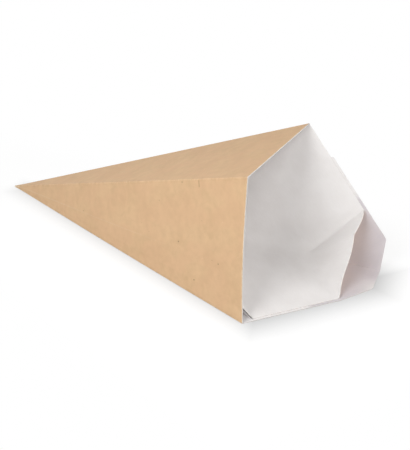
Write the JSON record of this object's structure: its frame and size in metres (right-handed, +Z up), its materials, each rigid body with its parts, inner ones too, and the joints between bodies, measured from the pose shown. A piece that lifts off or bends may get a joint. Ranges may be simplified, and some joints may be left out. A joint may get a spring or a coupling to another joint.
{
  "type": "paper fries cone",
  "caption": "Folded board cone for fries, lying on its side, with a folded divider at the mouth that makes a small dip pocket.",
  "frame": {"origin": "middle of the underside of the part's box, on the surface the cone lies on", "axes": "+X from the tip to the mouth along the rear crease, +Y towards the back wall, +Z up"},
  "size_m": [0.2386, 0.0962, 0.0683],
  "materials": {
    "board": "matt kraft outside, white inside"
  },
  "bodies": {
    "root": {"folded_cone": "board"}
  },
  "joints": []
}
